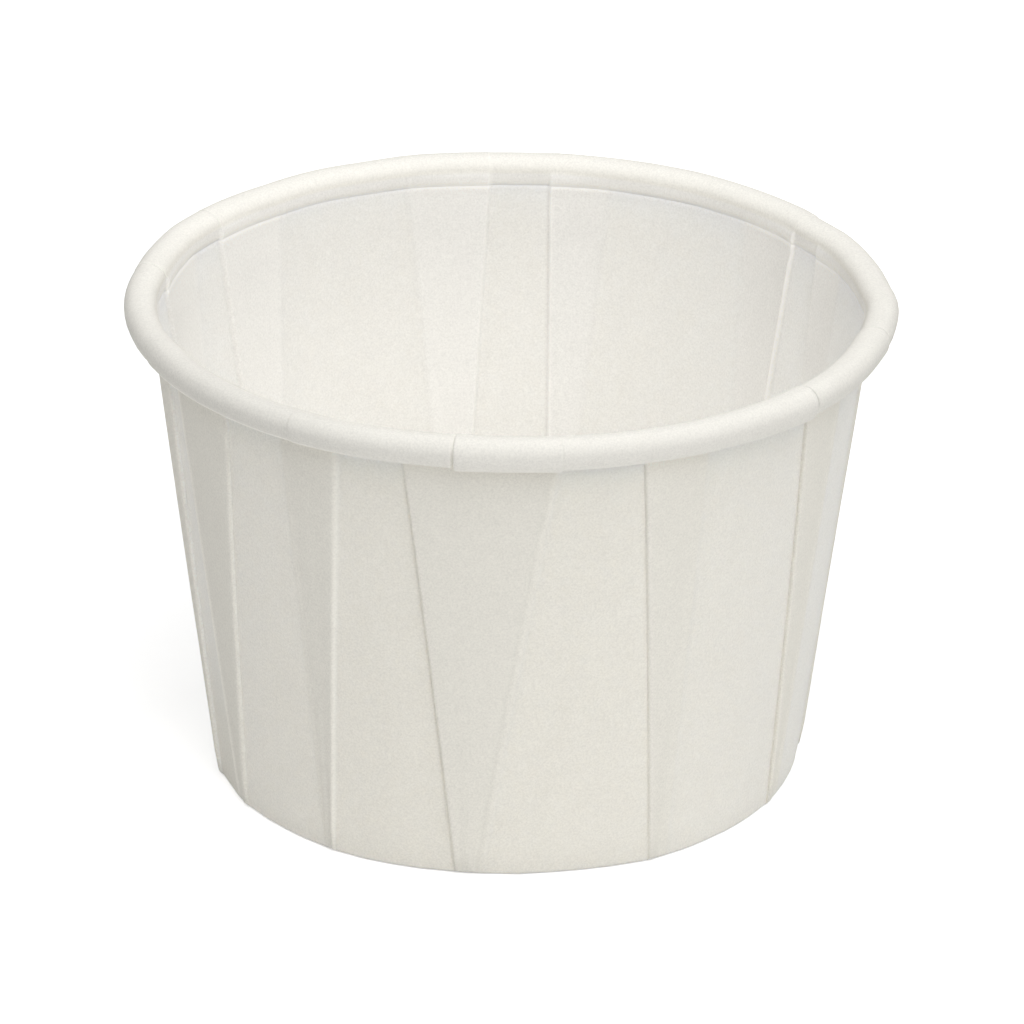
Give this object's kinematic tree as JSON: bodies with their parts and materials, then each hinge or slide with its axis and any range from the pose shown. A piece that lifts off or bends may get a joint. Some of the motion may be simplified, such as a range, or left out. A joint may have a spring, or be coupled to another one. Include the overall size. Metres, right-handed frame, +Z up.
{
  "type": "paper portion cup",
  "caption": "Small tapered cup pressed from one disc of paper, with flat folded pleats round the wall and a rim rolled outwards.",
  "frame": {"origin": "centre of the foot, on the surface that the cup stands on", "axes": "+Z up along the cup's axis, -Y towards the side that the picture shows, +X to the right of it"},
  "size_m": [0.0727, 0.0724, 0.0472],
  "materials": {
    "paper": "matte, uncoated, off-white"
  },
  "bodies": {
    "root": {"pleated_cup": "paper"}
  },
  "joints": []
}
